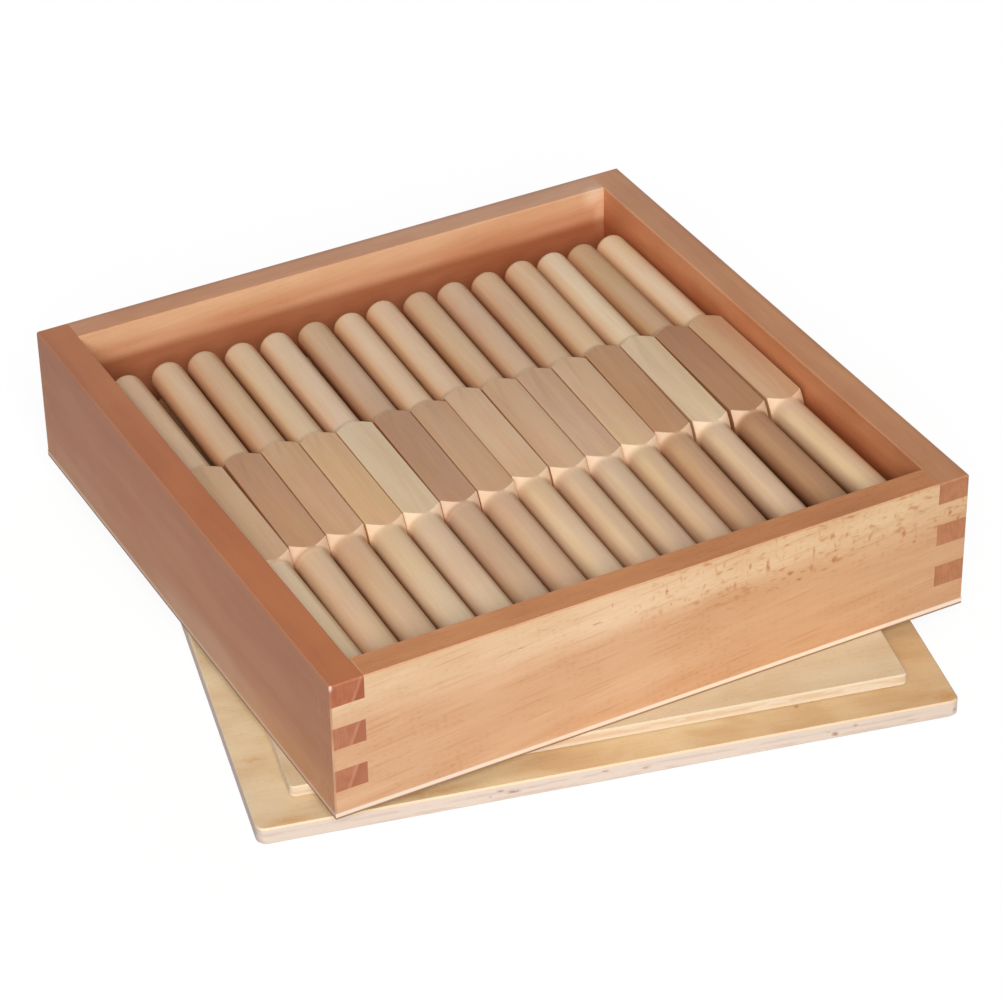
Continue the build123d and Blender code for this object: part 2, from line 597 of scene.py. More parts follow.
    def end_grain(self, recipe: Recipe, spot: Socket, depth: Socket) -> Socket:
        """The ends of the fingers. Where a growth ring splits them, it runs down aslant with a pale line.

        Args:
            recipe: The finish's recipe.
            spot: The place on the tray.
            depth: How deep the wood is.

        Returns:
            The colour.
        """
        colour = self.ends.lay(recipe, spot, depth)
        rays = recipe.noise(recipe.place(spot, self.end_rays), detail=2)
        colour = recipe.veil(colour, self.end_ray_colour, recipe.fade(rays, 0.35, 0.7, 0.0, 0.4))
        if self.split is None:
            return colour
        low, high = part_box("wall_left")
        along, _, height = recipe.parts(spot)
        across = recipe.maths("DIVIDE", along, high.x - low.x)
        rim = high.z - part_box("box_bottom")[0].z
        rows = recipe.maths("DIVIDE", recipe.maths("SUBTRACT", rim, height), (high.z - low.z) / Tray.fingers)
        slant = recipe.maths("MULTIPLY_ADD", recipe.maths("FRACT", rows), self.split_slant, across)
        slant = recipe.maths("MULTIPLY_ADD", recipe.maths("FLOOR", rows), self.split_step, slant)
        past = recipe.fade(slant, 0.97, 1.0)
        spent = recipe.fade(slant, 1.0, 1.4, 1.0, 0.35)
        beyond = self.split.lay(recipe, spot, depth)
        colour = recipe.mix(recipe.maths("MULTIPLY", past, spent), colour, beyond)
        off_line = recipe.maths("ABSOLUTE", recipe.maths("SUBTRACT", slant, self.pale_line))
        return recipe.mix(recipe.fade(off_line, 0.08, 0.0, 0.0, 0.32), colour, self.pale_colour)


@dataclass(frozen=True)
class PlywoodFinish(Finish):
    """Birch plywood: a veneer on its faces, and the layers along its edges.

    Its places are counted from the middle of the lid's face on the table, once the panel is turned straight.
    """

    name: str
    turn: float
    face: Shade
    edge: Shade
    base: float
    layer: float
    edge_wear_and_highlight: float
    whole: float = 0.3
    stains: tuple[Stain, ...] = ()
    left_side_shade: Triple = (1.0, 1.0, 1.0)
    edge_wear_and_highlight_colour: Colour = paint(244, 224, 196)
    cloud_scale: Triple = (34, 48, 34)
    cloud_turn: float = 0.9
    cloud_share: float = 0.6
    figure_share: float = 0.45
    fibre_colour: Colour = paint(238, 222, 200)
    fibre_share: float = 0.2
    pore_colour: Colour = paint(225, 198, 170)
    pore_share: float = 0.25
    line_width: float = 1.6 * MM
    line_length: float = 11 * MM

    def lay(self, recipe: Recipe, effects: Effects) -> tuple[Socket, Socket, Socket]:
        """Lays the plywood: its face, its edge, the stains and the rubbed front edge, which is partly a painted
        highlight.

        Args:
            recipe: The finish's recipe.
            effects: The shared effects.

        Returns:
            The colour, the roughness and the height of the relief.
        """
        where = recipe.add("ShaderNodeTexCoord", {})
        back = (0.0, 0.0, -self.turn)
        place, facing = (recipe.place(where.outputs[kind], (1, 1, 1), back) for kind in ("Object", "Normal"))
        sideways, forward, upward = recipe.parts(facing)
        figure, fibres, pores = BIRCH.lay(recipe, effects, place)
        patches = recipe.place(place, self.cloud_scale, (0.0, 0.0, self.cloud_turn))
        cloud = recipe.noise(patches, detail=2, bend=0.6)
        clouded = recipe.fade(cloud, 0.35, 0.7, 0.0, self.cloud_share)
        share = recipe.maths("MULTIPLY_ADD", figure, self.figure_share, clouded)
        face = self.face.lay(recipe, place, share)
        face = recipe.veil(face, self.fibre_colour, fibres, self.fibre_share)
        face = recipe.veil(face, self.pore_colour, pores, self.pore_share)
        level = recipe.fade(recipe.maths("ABSOLUTE", upward), 0.3, 0.6)
        colour = recipe.mix(level, self.lay_edge(recipe, effects, place, sideways), face)
        for stain in self.stains:
            colour = stain.lay(recipe, effects, place, colour)

        # Front-facing level edges are lightened: partly rubbed, partly a painted highlight.
        front = recipe.maths("MULTIPLY", recipe.fade(forward, -0.3, -0.6), recipe.fade(upward, 0.3, 0.5))
        arris = recipe.maths("MULTIPLY", recipe.effect(effects.arris, {"Facing": facing}), front)
        worn_and_highlit = recipe.maths("MULTIPLY", arris, recipe.fade(cloud, 0.3, 0.6, self.edge_wear_and_highlight / 2, self.edge_wear_and_highlight))
        colour = recipe.mix(worn_and_highlit, colour, self.edge_wear_and_highlight_colour)
        relief = recipe.maths("MULTIPLY_ADD", fibres, 0.4, recipe.maths("MULTIPLY", pores, -0.6))
        return colour, recipe.fade(fibres, 0.0, 1.0, 0.5, 0.62), relief

    def lay_edge(self, recipe: Recipe, effects: Effects, place: Socket, sideways: Socket) -> Socket:
        """The layers along the edge, whose lines break up and run out, with painted shade where the edge faces
        left.

        Args:
            recipe: The finish's recipe.
            effects: The shared effects.
            place: The place on the panel.
            sideways: How far the surface faces right.

        Returns:
            The colour.
        """
        above = recipe.maths("SUBTRACT", recipe.parts(place)[2], self.base)
        rise = recipe.maths("DIVIDE", above, self.layer)
        ply = recipe.fade(recipe.maths("PINGPONG", rise, 1.0), 0.35, 0.75)
        lines = recipe.effect(effects.streaks, {
            "Place": place, "Width": self.line_width, "Length": self.line_length,
        })
        broken = recipe.maths("MULTIPLY", ply, recipe.fade(lines, 0.2, 0.8, self.whole, 1.0))
        edge = self.edge.lay(recipe, place, broken)
        # Painted shade on the edges that face left.
        return recipe.veil(edge, self.left_side_shade, recipe.fade(sideways, -0.4, -0.8))


class Tone(Enum):
    """The tones that the spindles' wood comes in, by the record's material slots."""

    PALE = "spindle_pale"
    CREAM = "spindle_cream"
    HONEY = "spindle_honey"
    TAN = "spindle_tan"
    ROSY = "spindle_rosy"
    BROWN = "spindle_brown"


@dataclass(frozen=True)
class SpindleFinish(Finish):
    """Bare turned wood. Its pattern follows the attributes that each spindle carries, so no two look alike."""

    tone: Tone
    square: Colour
    turned: Colour
    square_end: float = 31 * MM
    square_fade: float = 1 * MM
    own_scale: Triple = (12, 30, 30)
    own_colour: Colour = paint(236, 224, 212)
    figure_colour: Colour = paint(240, 227, 213)
    fibre_colour: Colour = paint(235, 215, 192)
    fibre_share: float = 0.12
    pore_colour: Colour = paint(220, 190, 162)
    pore_share: float = 0.1
    patches: tuple[tuple[Triple, Triple], ...] = (
        ((30, 80, 80), (1.00, 0.94, 0.95)),
        ((24, 60, 60), (1.01, 1.02, 0.92)),
    )
    deeper: Triple = (0.71, 0.58, 0.50)
    paler: Triple = (1.14, 1.25, 1.30)
    cut: Colour = paint(250, 222, 190)
    # Painted light and shade on the round flanks: a warmer lit left flank, shade below it, and shade on the
    # right flank and underside.
    left_flank_light_and_shade: tuple[tuple[tuple[float, float], Triple], ...] = (
        ((-0.50, -0.85), (1.06, 0.96, 0.87)),
        ((-0.76, -0.97), (0.88, 0.74, 0.66)),
    )
    painted_flank_light: Triple = (1.14, 1.18, 1.10)
    painted_right_flank_shade: Triple = (0.76, 0.65, 0.56)
    underside: Triple = (0.85, 0.66, 0.52)
    relief_strength: float = 0.4
    lengthwise: str = "lengthwise"
    depth: str = "depth"

    @property
    def name(self) -> str:
        """The finish is called after its tone."""
        return self.tone.value

    def lay(self, recipe: Recipe, effects: Effects) -> tuple[Socket, Socket, Socket]:
        """Lays the wood: its tone and depth, soft patches and fibres, then painted light and shade on the
        flanks, and the cut shoulders.

        Args:
            recipe: The finish's recipe.
            effects: The shared effects.

        Returns:
            The colour, the roughness and the height of the relief.
        """
        place = recipe.add("ShaderNodeAttribute", {}, attribute_name=self.lengthwise).outputs["Vector"]
        depth = recipe.add("ShaderNodeAttribute", {}, attribute_name=self.depth).outputs["Fac"]
        where = recipe.add("ShaderNodeTexCoord", {})
        forth = recipe.parts(place)[0]
        along = recipe.maths("ABSOLUTE", forth)
        figure, fibres, pores = TURNED_WOOD.lay(recipe, effects, place)
        own = recipe.noise(recipe.place(place, self.own_scale), detail=1)

        outward = recipe.fade(along, self.square_end - self.square_fade, self.square_end + self.square_fade)
        colour = recipe.mix(outward, self.square, self.turned)
        colour = recipe.veil(colour, self.deeper, recipe.fade(depth, 0.0, 1.0))
        colour = recipe.veil(colour, self.paler, recipe.fade(depth, 0.0, -1.0))
        colour = recipe.veil(colour, self.own_colour, recipe.fade(own, 0.35, 0.65, 0.0, 0.45))
        for scale, patch in self.patches:
            cloud = recipe.noise(recipe.place(place, scale, (0.0, 0.0, 0.1)), detail=2)
            colour = recipe.veil(colour, patch, recipe.fade(cloud, 0.42, 0.70, 0.0, 0.75))
        colour = recipe.veil(colour, self.figure_colour, recipe.fade(figure, 0.1, 0.9, 0.0, 0.3))
        colour = recipe.veil(colour, self.fibre_colour, fibres, self.fibre_share)
        colour = recipe.veil(colour, self.pore_colour, pores, self.pore_share)
        colour = self.paint_flank_light_and_shade(recipe, where, forth, colour)
        endwise = recipe.maths("ABSOLUTE", recipe.parts(where.outputs["Normal"])[1])
        shoulder = recipe.fade(endwise, 0.25, 0.55, 0.0, 0.5)
        near_middle = recipe.fade(along, 38 * MM, 34 * MM)
        colour = recipe.mix(recipe.maths("MULTIPLY", shoulder, near_middle), colour, self.cut)
        relief = recipe.maths("MULTIPLY_ADD", fibres, 0.25, recipe.maths("MULTIPLY", pores, -0.4))
        return colour, recipe.fade(fibres, 0.0, 1.0, 0.5, 0.64), relief

    def paint_flank_light_and_shade(self, recipe: Recipe, where: bpy.types.Node, forth: Socket, colour: Socket) -> Socket:
        """Paints shade on both flanks and the underside, where neighbouring spindles shade them, and paints
        light on the left flank of the near ends further right.

        Args:
            recipe: The finish's recipe.
            where: The node that knows the place and which way the surface faces.
            forth: How far the place lies from the spindle's middle, towards its far end.
            colour: The colour underneath.

        Returns:
            The colour.
        """
        sideways, _, upward = recipe.parts(where.outputs["Normal"])
        farther = recipe.fade(forth, -35 * MM, 35 * MM, 0.3, 1.0)
        # Painted light and shade on the left flank: warmer up high, darker low down where the next spindle
        # shades it.
        for (start, end), tint in self.left_flank_light_and_shade:
            share = recipe.maths("MULTIPLY", recipe.fade(sideways, start, end), farther)
            colour = recipe.veil(colour, tint, share)
        # Painted light on the left flank of the near ends, for the spindles further right.
        flank = recipe.maths("MULTIPLY", recipe.fade(sideways, -0.2, -0.55), recipe.fade(sideways, -0.95, -0.7))
        nearer = recipe.fade(forth, -30 * MM, -42 * MM)
        rightward = recipe.fade(recipe.parts(where.outputs["Object"])[0], -60 * MM, 20 * MM)
        lit = recipe.maths("MULTIPLY", flank, recipe.maths("MULTIPLY", nearer, rightward))
        colour = recipe.veil(colour, self.painted_flank_light, lit)
        # Painted shade on the right flank and the underside, where neighbouring spindles shade them.
        colour = recipe.veil(colour, self.painted_right_flank_shade, recipe.fade(sideways, 0.30, 0.74))
        return recipe.veil(colour, self.underside, recipe.fade(upward, 0.35, -0.15))


def dress(node: str, material: bpy.types.Material) -> None:
    """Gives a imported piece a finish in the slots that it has.

    Args:
        node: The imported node.
        material: Its finish.
    """
    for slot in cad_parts[node].material_slots:
        slot.material = material
    log.info("dressed %s in %s", node, material.name)


@dataclass(frozen=True)
class Tray:
    """The four finger-jointed walls and the thin bottom under them, 240 by 240 and 53.4 millimetres high."""

    fingers: int = 6
    bottom_layer: float = 1.3 * MM

    def flecks(self) -> Stain:
        """The ray flecks on the front wall, thickest towards its upper right."""
        spots = (
            (68.0, 43.5, 1.6, 0.6, 0.3), (96.0, 43.2, 2.0, 0.6, 0.0), (101.5, 48.5, 0.7, 1.4, 0.3),
            (110.0, 42.7, 1.3, 0.5, 0.4), (122.0, 46.8, 0.7, 1.9, 0.1), (123.7, 41.0, 0.7, 1.0, 0.3),
            (129.0, 49.7, 1.1, 0.5, 0.2), (142.0, 39.0, 1.9, 0.5, 0.3), (149.0, 35.2, 2.2, 0.4, 0.3),
            (153.7, 45.7, 1.0, 1.4, 0.1), (160.7, 43.5, 0.9, 3.6, 0.0), (168.0, 49.2, 1.5, 0.6, 0.2),
            (178.5, 42.5, 0.7, 3.6, 0.3), (185.8, 47.0, 1.0, 1.4, 0.0), (186.8, 42.5, 0.9, 3.2, 0.4),
            (186.6, 37.0, 0.9, 1.4, 0.0), (169.5, 37.5, 1.4, 1.1, 0.0), (173.0, 33.8, 1.4, 0.7, 0.1),
            (164.5, 33.0, 1.3, 0.5, 0.3), (195.5, 45.5, 0.7, 0.8, 0.4), (206.0, 40.0, 0.8, 2.2, 0.4),
            (214.3, 38.0, 0.8, 2.3, 0.0), (218.5, 46.7, 1.4, 0.6, 0.0), (218.8, 33.0, 1.1, 0.8, 0.1),
            (232.8, 40.3, 0.9, 1.7, 0.1),
        )
        marks = tuple(Mark((x, 0.0, z), (wide, 4.0, tall), faint) for x, z, wide, tall, faint in spots)
        return Stain(marks, paint(212, 160, 122), 0.9, ragged=1.1, core=0.0)

    def finishes(self) -> dict[str, BeechFinish]:
        """The finish of each wall, by its node."""
        side_inside = Shade(paint(216, 149, 104), paint(194, 122, 79), (
            # Painted shade: darker towards the bottom, where the spindles and the walls shade the inside.
            Tint((0, 0, 50), (0, 0, 43), (0.89, 0.78, 0.73)),
            Tint((0, 0, 43), (0, 0, 37), (0.68, 0.52, 0.42)),
        ))
        left_outside = Shade(paint(189, 129, 95), paint(179, 116, 82), (
            Tint((0, 0, 36), (0, 0, 48), (0.96, 0.94, 0.94)),
            # Painted light: lighter towards the bottom, as light bounced off the floor makes it.
            Tint((0, 0, 22), (0, 0, 8), (1.09, 1.22, 1.26)),
            Tint((0, 150, 0), (0, 235, 0), (0.92, 0.90, 0.91)),
        ))
        left_ends = replace(left_outside, pale=paint(193, 134, 101), deep=paint(183, 121, 88))
        # Painted light: a lighter patch low on the left wall, standing in for light bounced off the floor.
        painted_floor_bounce_light = Stain(
            (Mark((0.0, 96.0, 4.0), (4.0, 50.0, 11.0)),), (1.07, 1.20, 1.32, 1.0), 1.0, ragged=0.0, core=0.5,
        )
        # A rubbed top corner, which is partly a painted highlight on the near corner's edge.
        corner_rub_and_highlight = Stain(
            (Mark((0.3, 0.3, 52.8), (0.7, 0.7, 1.8)),), paint(244, 218, 198), 0.8, "MIX", ragged=0.4,
        )
        seam = Stain((Mark((12.1, 5.5, 53.4), (0.45, 6.0, 1.0)),), paint(222, 168, 126), 0.4, "MIX", ragged=0.4)
        # Painted highlight: a pale streak down the back wall's inner corner.
        painted_corner_highlight = Stain(
            (Mark((224.0, 229.0, 51.0), (5.5, 4.0, 6.0)), Mark((226.5, 229.0, 42.0), (3.5, 4.0, 9.0))),
            (1.14, 1.40, 1.62, 1.0), 1.0, ragged=0.3, core=0.2,
        )
        return {
            "wall_front": BeechFinish(
                "beech_front", Grain.ALONG_X, (0, 1, 0),
                outside=Shade(paint(236, 203, 165), paint(222, 180, 138), (
                    Tint((0, 0, 45), (0, 0, 34), (0.90, 0.77, 0.71)),
                    Tint((100, 0, 0), (165, 0, 0), (0.95, 0.94, 0.90)),
                    Tint((175, 0, 0), (215, 0, 0), (1.04, 1.11, 1.15)),
                    Tint((170, 0, 30), (215, 0, -5), (0.88, 0.80, 0.75)),
                )),
                rim=Shade(paint(201, 136, 85), paint(183, 117, 66), (
                    Tint((40, 0, 0), (220, 0, 0), (0.84, 0.77, 0.62)),
                )),
                inside=side_inside, ends=left_ends, stains=(self.flecks(), seam, corner_rub_and_highlight),
                pore_share=0.42, vein_share=0.28, ray_start=(85.0, 27.0), level_wear_and_highlight=0.35,
            ),
            "wall_back": BeechFinish(
                "beech_back", Grain.ALONG_X, (0, -1, 0),
                outside=Shade(paint(222, 176, 134), paint(208, 155, 112)),
                rim=Shade(paint(190, 139, 103), paint(176, 121, 85), (
                    Tint((40, 0, 0), (220, 0, 0), (0.95, 1.03, 1.17)),
                    Tint((0, 236.5, 0), (0, 239.5, 0), (0.80, 0.80, 0.86)),
                    Tint((0, 233, 0), (0, 229.5, 0), (1.06, 1.03, 0.97)),
                )),
                inside=Shade(paint(232, 189, 150), paint(218, 166, 124), (
                    Tint((140, 0, 0), (190, 0, 0), (0.93, 0.84, 0.79)),
                    # Painted shade: darker towards the bottom, behind the spindle tips.
                    Tint((0, 0, 50), (0, 0, 43), (0.91, 0.76, 0.71)),
                    Tint((0, 0, 43), (0, 0, 38), (0.60, 0.42, 0.34)),
                )),
                ends=left_ends, stains=(painted_corner_highlight,), pore_share=0.15,
            ),
            "wall_left": BeechFinish(
                "beech_left", Grain.ALONG_Y, (1, 0, 0), outside=left_outside,
                rim=Shade(paint(178, 102, 50), paint(161, 86, 38), (
                    Tint((0, 100, 0), (0, 210, 0), (0.92, 1.00, 1.26)),
                    Tint((6, 0, 0), (0, 0, 0), (0.94, 0.97, 1.02)),
                )),
                inside=side_inside,
                ends=Shade(paint(190, 125, 91), paint(177, 110, 78), (
                    Tint((0, 0, 38), (0, 0, 46), (0.92, 0.75, 0.68)),
                )),
                split=Shade(paint(172, 102, 71), paint(172, 102, 71), (
                    Tint((0, 0, 38), (0, 0, 46), (0.92, 0.74, 0.62)),
                )),
                stains=(painted_floor_bounce_light, corner_rub_and_highlight), fibre_share=0.05, pore_share=0.06,
                slope=0.0,
            ),
            "wall_right": BeechFinish(
                "beech_right", Grain.ALONG_Y, (-1, 0, 0),
                outside=Shade(paint(214, 165, 126), paint(196, 142, 104)),
                rim=Shade(paint(185, 129, 84), paint(169, 109, 67), (
                    Tint((0, 100, 0), (0, 230, 0), (0.97, 1.05, 1.24)),
                    Tint((237, 0, 0), (239.5, 0, 0), (0.84, 0.82, 0.84)),
                )),
                inside=side_inside,
                ends=Shade(paint(187, 127, 87), paint(174, 112, 75)),
                pore_share=0.15,
            ),
        }

    def build(self, effects: Effects) -> None:
        """Dresses the walls and the bottom.

        Args:
            effects: The shared effects.
        """
        for node, finish in self.finishes().items():
            dress(node, finish.make(effects))
        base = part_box("box_bottom")[0].z - self.bottom_layer
        bottom = PlywoodFinish(
            "plywood_bottom", 0.0, Shade(paint(226, 196, 150), paint(208, 172, 124)),
            Shade(paint(244, 219, 195), paint(235, 209, 187), (
                # Painted shadow: a dark line along the foot of the edge, standing in for the shade under the
                # tray.
                Tint((0, 0, 11.95), (0, 0, 11.4), (0.38, 0.27, 0.19)),
                # A thin dark line at the top of the edge, partly a glue line, partly painted shade under the
                # wall.
                Tint((0, 0, 13.1), (0, 0, 13.4), (0.85, 0.78, 0.72)),
            )),
            base, self.bottom_layer, edge_wear_and_highlight=0.0, whole=0.85,
            # Painted shade on the edges that face left.
            left_side_shade=(0.72, 0.62, 0.58),
        )
        dress("box_bottom", bottom.make(effects))


@dataclass(frozen=True)
class Lid:
    """The upturned lid: a thick plywood panel, and the locating panel glued on it."""

    turn: float = math.radians(-12.73)
    layers: int = 5
    front: float = -120.5
    glue_line: float = 0.4 * MM

    def edge_knots(self) -> tuple[Mark, ...]:
        """The small knots along the panel's front edge."""
        spots = (
            (-43.0, 2.6, 1.4, 0.6, 0.4), (-39.3, 4.5, 1.6, 0.6, 0.1), (-34.8, 3.0, 2.8, 0.7, 0.0),
            (-28.5, 3.6, 5.0, 0.5, 0.5), (-3.6, 4.6, 1.7, 0.6, 0.2), (10.2, 2.8, 3.4, 0.8, 0.4),
            (73.7, 3.6, 2.4, 0.7, 0.5), (76.3, 2.0, 1.4, 0.9, 0.0), (83.2, 4.2, 1.5, 0.7, 0.2),
            (103.3, 2.0, 4.0, 0.6, 0.4),
        )
        return tuple(Mark((x, self.front, z), (wide, 1.0, tall), faint) for x, z, wide, tall, faint in spots)

    def build(self, effects: Effects) -> None:
        """Dresses both panels.

        Args:
            effects: The shared effects.
        """
        low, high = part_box("lid_panel")
        knots = Stain(
            (
                *self.edge_knots(), Mark((118.6, -120.0, 2.8), (1.0, 1.2, 0.9), 0.1),
                Mark((66.7, -108.0, 6.5), (1.0, 0.9, 1.0), 0.1),
            ),
            paint(190, 150, 132), 0.8, ragged=0.8,
        )
        warmth = Stain(
            (
                Mark((-109.0, -118.0, 6.5), (9.0, 3.0, 1.5)), Mark((116.5, -117.0, 6.5), (5.0, 4.0, 1.5)),
                Mark((-60.0, -117.0, 6.5), (26.0, 3.0, 1.5), 0.2),
                Mark((-114.0, -84.0, 6.5), (7.0, 2.2, 1.5), 0.3),
                Mark((-110.0, -52.0, 6.5), (8.0, 2.0, 1.5), 0.4),
            ),
            paint(240, 214, 182), 0.8, ragged=1.5, core=0.0,
        )
        panel = PlywoodFinish(
            "plywood_lid", self.turn,
            Shade(paint(226, 201, 159), paint(208, 171, 125), (
                Tint((10, 0, 0), (-112, 0, 0), (1.06, 1.13, 1.24)),
                Tint((60, 0, 0), (118, 0, 0), (0.90, 0.83, 0.77)),
            )),
            Shade(paint(225, 206, 190), paint(214, 192, 179), (
                Tint((30, 0, 0), (100, 0, 0), (0.95, 0.94, 0.91)),
            )),
            low.z, (high.z - low.z) / self.layers,
            # The left-facing edges get a painted shade.
            edge_wear_and_highlight=0.5, whole=0.05, stains=(knots, warmth), left_side_shade=(0.90, 0.88, 0.93),
        )
        dress("lid_panel", panel.make(effects))
        low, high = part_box("lid_inset")
        inset = PlywoodFinish(
            "plywood_inset", self.turn,
            Shade(paint(219, 202, 171), paint(208, 184, 147)),
            Shade(paint(224, 207, 181), paint(217, 187, 155)), low.z + self.glue_line, (high.z - low.z) / 2,
            edge_wear_and_highlight=0.3, whole=0.0,
        )
        dress("lid_inset", inset.make(effects))


@dataclass(frozen=True)
class Spindle:
    """One turned spindle: a square bar, round towards both ends, with the tips rounded over."""

    half_length: float = 101 * MM
    half_square: float = 6.9 * MM
    square_reach: float = 30.8 * MM
    arch_reach: float = 1.2 * MM
    round_radius: float = 6.25 * MM
    bar_radius: float = 9.55 * MM
    shoulder_angle: float = math.radians(39.7)
    cove_radius: float = 6.0 * MM
    cove_steps: int = 4
    tip_length: float = 3.9 * MM
    tip_flat: float = 2.2 * MM
    tip_steps: int = 6
    turned_steps: int = 64
    crisp_angle: float = math.radians(28)
    soft_edge: float = 0.22 * MM
    weld: float = 0.001 * MM
    plane_play: float = 0.0001 * MM
    grain_shift: float = 0.37

    def stations(self) -> list[tuple[float, float]]:
        """The turned outline of the far half, from its middle to its tip.

        Returns:
            Places along the spindle, each with its radius.
        """
        foot = self.square_reach + (self.half_square - self.round_radius) / math.tan(self.shoulder_angle)
        head = foot - (self.bar_radius - self.round_radius) / math.tan(self.shoulder_angle)
        outline = [(0.0, self.bar_radius), (head, self.bar_radius)]
        cove_end = foot + self.cove_radius * math.tan(self.shoulder_angle / 2)
        for step in range(self.cove_steps + 1):
            angle = self.shoulder_angle * (1 - step / self.cove_steps)
            along = cove_end - self.cove_radius * math.sin(angle)
            outline.append((along, self.round_radius + self.cove_radius * (1 - math.cos(angle))))
        for step in range(self.tip_steps + 1):
            angle = math.radians(90) * step / self.tip_steps
            along = self.half_length - self.tip_length * (1 - math.sin(angle))
            outline.append((along, self.tip_flat + (self.round_radius - self.tip_flat) * math.cos(angle)))
        outline.append((self.half_length, 0.0))
        return outline

    def turn(self) -> bmesh.types.BMesh:
        """Turns the outline into a solid about Y, and planes its four flats.

        Returns:
            The spindle about the origin.
        """
        form = bmesh.new()
        far = self.stations()
        near = [(-along, radius) for along, radius in reversed(far[1:])]
        chain = [form.verts.new((radius, along, 0.0)) for along, radius in near + far]
        edges = [form.edges.new(pair) for pair in zip(chain, chain[1:])]
        bmesh.ops.spin(
            form, geom=chain + edges, cent=(0, 0, 0), axis=(0, 1, 0), angle=math.tau,
            steps=self.turned_steps, use_merge=True,
        )
        bmesh.ops.remove_doubles(form, verts=form.verts, dist=self.weld)
        for flat in (Vector((1, 0, 0)), Vector((-1, 0, 0)), Vector((0, 0, 1)), Vector((0, 0, -1))):
            cut = bmesh.ops.bisect_plane(
                form, geom=form.verts[:] + form.edges[:] + form.faces[:], dist=self.plane_play,
                plane_co=flat * self.half_square, plane_no=flat, clear_outer=True,
            )
            rim = [part for part in cut["geom_cut"] if isinstance(part, bmesh.types.BMEdge)]
            bmesh.ops.edgeloop_fill(form, edges=rim)
        bmesh.ops.recalc_face_normals(form, faces=form.faces)
        crisp = [
            edge for edge in form.edges
            if edge.is_manifold and edge.calc_face_angle() > self.crisp_angle and edge.is_convex
        ]
        bmesh.ops.bevel(
            form, geom=crisp, offset=self.soft_edge, segments=2, profile=0.5, affect="EDGES", material=-1,
            clamp_overlap=True,
        )
        return form

    def build(
        self, node: str, lean: float, number: int, tone: Tone, depths: Triple, finish: bpy.types.Material,
    ) -> None:
        """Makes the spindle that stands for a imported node.

        Args:
            node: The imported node, whose middle is where the spindle lies.
            lean: How far the far end leans to the right.
            number: The spindle's own number, which picks its piece of wood.
            tone: The tone of its wood.
            depths: How much deeper than its tone the near end, the square and the far end are, from -1 to 1.
            finish: Its finish.
        """
        form = self.turn()
        wood = form.verts.layers.float_vector.new(SpindleFinish.lengthwise)
        depth = form.verts.layers.float.new(SpindleFinish.depth)
        for vert in form.verts:
            vert[wood] = (vert.co.y, vert.co.x + number * self.grain_shift, vert.co.z)
            in_square = abs(vert.co.y) <= self.square_reach + self.arch_reach
            part = 1 if in_square else 2 if vert.co.y > 0 else 0
            vert[depth] = depths[part]
        low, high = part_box(node)
        lie = Matrix.Translation((low + high) / 2) @ Matrix.Rotation(-lean, 4, "Z")
        bmesh.ops.transform(form, verts=form.verts, matrix=lie)
        name = f"turned_{node}"
        mesh = bpy.data.meshes.new(name)
        form.to_mesh(mesh)
        form.free()
        for polygon in mesh.polygons:
            polygon.use_smooth = True
        mesh.set_sharp_from_angle(angle=self.crisp_angle)
        mesh.materials.append(finish)
        piece = bpy.data.objects.new(name, mesh)
        bpy.context.scene.collection.objects.link(piece)
        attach(piece, node)
        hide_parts(node)
        log.info("turned %s in %s", name, tone.name.lower())


